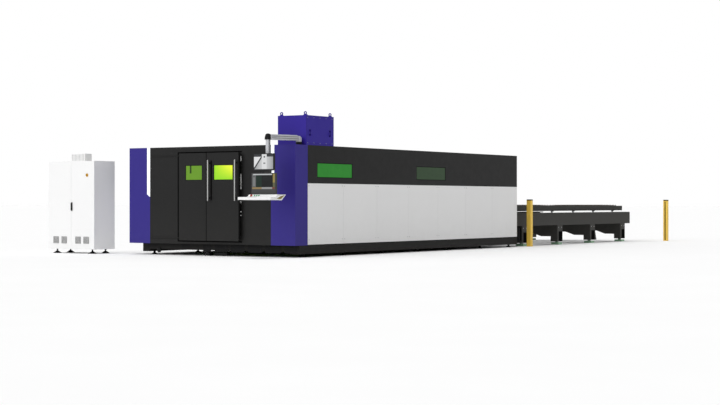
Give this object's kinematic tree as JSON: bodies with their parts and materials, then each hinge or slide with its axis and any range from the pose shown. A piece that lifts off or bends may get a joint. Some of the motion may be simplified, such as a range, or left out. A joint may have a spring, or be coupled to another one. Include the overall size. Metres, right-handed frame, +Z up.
{
  "type": "laser cutting machine",
  "caption": "Enclosed sheet laser cutter with a sliding front door, swing-arm console, lifting exchange table with slatted pallets, control cabinet and guard posts.",
  "frame": {"origin": "centre of the layout's bounding box, on the floor", "axes": "+X towards the machine's right side, +Y from the operator's front to the exchange table, +Z up"},
  "size_m": [7.12, 18.302, 2.94],
  "materials": {
    "steel_dark": "satin",
    "cast_black": "satin",
    "rail_steel": "ground",
    "violet_paint": "fine texture",
    "light_diffuser": "opal",
    "rubber": "matt",
    "green_pane": "tinted",
    "handle_metal": "brushed",
    "graphite_paint": "fine texture",
    "white_paint": "fine texture",
    "arm_grey": "satin",
    "black_plastic": "matt",
    "screen_glass": "gloss",
    "red_plastic": "gloss",
    "green_plastic": "gloss",
    "gantry_grey": "satin",
    "slat_steel": "cut edge",
    "pad_green": "satin",
    "motor_grey": "satin",
    "fan_grey": "matt",
    "zinc_plate": "plated",
    "yellow_paint": "satin"
  },
  "bodies": {
    "machine": {"arm_pivot": "cast_black", "base_frame": "steel_dark", "cabinet_feet": "cast_black", "cabinet_shell": "white_paint", "door_rails": "graphite_paint", "door_seal": "rubber", "fan_hood": "fan_grey", "front_panel": "graphite_paint", "gantry_rails": "rail_steel", "guard_posts": "yellow_paint", "left_column": "violet_paint", "levelling_feet": "cast_black", "lift_drive": "motor_grey", "lifting_eyes": "violet_paint", "light_strips": "light_diffuser", "machine_bed": "steel_dark", "mounting_plate": "zinc_plate", "post_caps": "black_plastic", "rear_wall": "graphite_paint", "right_column": "violet_paint", "roof_panels": "graphite_paint", "side_bands": "graphite_paint", "side_panels": "white_paint", "side_windows": "green_pane", "table_pads": "pad_green", "table_stands": "steel_dark", "tower_cover": "violet_paint", "tower_housing": "violet_paint"},
    "leading_door": {"door_leaf_leading": "graphite_paint", "door_window_leading": "green_pane", "door_handles": "handle_metal", "door_bumper": "rubber"},
    "trailing_door": {"door_leaf_trailing": "graphite_paint", "door_window_trailing": "green_pane"},
    "console_arm": {"arm_tube": "arm_grey", "arm_elbow": "black_plastic"},
    "console": {"drop_tube": "arm_grey", "upper_monitor": "black_plastic", "control_panel": "black_plastic", "screens": "screen_glass", "keyboard_console": "arm_grey"},
    "stop_head": {"emergency_stop": "red_plastic"},
    "start_key": {"start_button": "green_plastic"},
    "feed_key": {"feed_button": "green_plastic"},
    "reset_key": {"reset_button": "green_plastic"},
    "gantry": {"gantry_beam": "gantry_grey"},
    "cross_carriage": {"carriage": "gantry_grey"},
    "laser_head": {"cutting_head": "gantry_grey"},
    "table_lift": {"lift_frame": "steel_dark"},
    "top_pallet": {"upper_pallet": "steel_dark", "upper_slats": "slat_steel", "upper_wheels": "rail_steel"},
    "bottom_pallet": {"lower_pallet": "steel_dark", "lower_slats": "slat_steel", "lower_wheels": "rail_steel"},
    "shutter": {"rear_shutter": "graphite_paint"},
    "right_cabinet_door": {"cabinet_door_right": "white_paint"},
    "left_cabinet_door": {"cabinet_door_left": "white_paint"},
    "door_lever": {"cabinet_lever": "black_plastic"},
    "switch_knob": {"main_switch": "red_plastic"}
  },
  "joints": [
    {"name": "leading_door_slide", "type": "slide", "parent": "machine", "child": "leading_door", "axis": [-1, 0, 0], "range_m": [0, 1.531]},
    {"name": "trailing_door_slide", "type": "slide", "parent": "machine", "child": "trailing_door", "axis": [-1, 0, 0], "range_m": [0, 0.7655]},
    {"name": "console_arm_pivot", "type": "hinge", "parent": "machine", "child": "console_arm", "pos_m": [2.7, -7.963, 2.39], "axis": [0, 0, 1], "range_deg": [-10, 95]},
    {"name": "console_pivot", "type": "hinge", "parent": "console_arm", "child": "console", "pos_m": [2.52, -8.754, 2.39], "axis": [0, 0, 1], "range_deg": [-30, 30]},
    {"name": "emergency_stop_push", "type": "slide", "parent": "console", "child": "stop_head", "axis": [0, 0.6849, -0.7286], "range_m": [0, 0.006], "stiffness_N_per_m": 600, "springref_m": -0.003},
    {"name": "start_push", "type": "slide", "parent": "console", "child": "start_key", "axis": [0, 0.6849, -0.7286], "range_m": [0, 0.004], "stiffness_N_per_m": 400, "springref_m": -0.002},
    {"name": "feed_push", "type": "slide", "parent": "console", "child": "feed_key", "axis": [0, 0.6849, -0.7286], "range_m": [0, 0.004], "stiffness_N_per_m": 400, "springref_m": -0.002},
    {"name": "reset_push", "type": "slide", "parent": "console", "child": "reset_key", "axis": [0, 0.6849, -0.7286], "range_m": [0, 0.004], "stiffness_N_per_m": 400, "springref_m": -0.002},
    {"name": "gantry_travel", "type": "slide", "parent": "machine", "child": "gantry", "axis": [0, 1, 0], "range_m": [0, 7.1]},
    {"name": "carriage_travel", "type": "slide", "parent": "gantry", "child": "cross_carriage", "axis": [1, 0, 0], "range_m": [0, 2.15]},
    {"name": "head_travel", "type": "slide", "parent": "cross_carriage", "child": "laser_head", "axis": [0, 0, 1], "range_m": [-0.25, 0]},
    {"name": "table_lift_travel", "type": "slide", "parent": "machine", "child": "table_lift", "axis": [0, 0, 1], "range_m": [0, 0.246]},
    {"name": "top_pallet_travel", "type": "slide", "parent": "table_lift", "child": "top_pallet", "axis": [0, 1, 0], "range_m": [-7.4, 0]},
    {"name": "bottom_pallet_travel", "type": "slide", "parent": "table_lift", "child": "bottom_pallet", "axis": [0, 1, 0], "range_m": [-7.4, 0]},
    {"name": "shutter_travel", "type": "slide", "parent": "machine", "child": "shutter", "axis": [0, 0, 1], "range_m": [-0.57, 0]},
    {"name": "right_cabinet_hinge", "type": "hinge", "parent": "machine", "child": "right_cabinet_door", "pos_m": [-2.212, -8.618, 1.0445], "axis": [0, 0, 1], "range_deg": [0, 110]},
    {"name": "left_cabinet_hinge", "type": "hinge", "parent": "machine", "child": "left_cabinet_door", "pos_m": [-3.56, -8.618, 1.0445], "axis": [0, 0, -1], "range_deg": [0, 110]},
    {"name": "lever_swing", "type": "hinge", "parent": "right_cabinet_door", "child": "door_lever", "pos_m": [-2.864, -8.63, 1.08], "axis": [0, -1, 0], "range_deg": [0, 90]},
    {"name": "switch_turn", "type": "hinge", "parent": "right_cabinet_door", "child": "switch_knob", "pos_m": [-2.42, -8.633, 1.691], "axis": [0, -1, 0], "range_deg": [0, 90]}
  ],
  "couplings": [
    {"joint": "trailing_door_slide", "follows": "leading_door_slide", "ratio": 0.5}
  ]
}
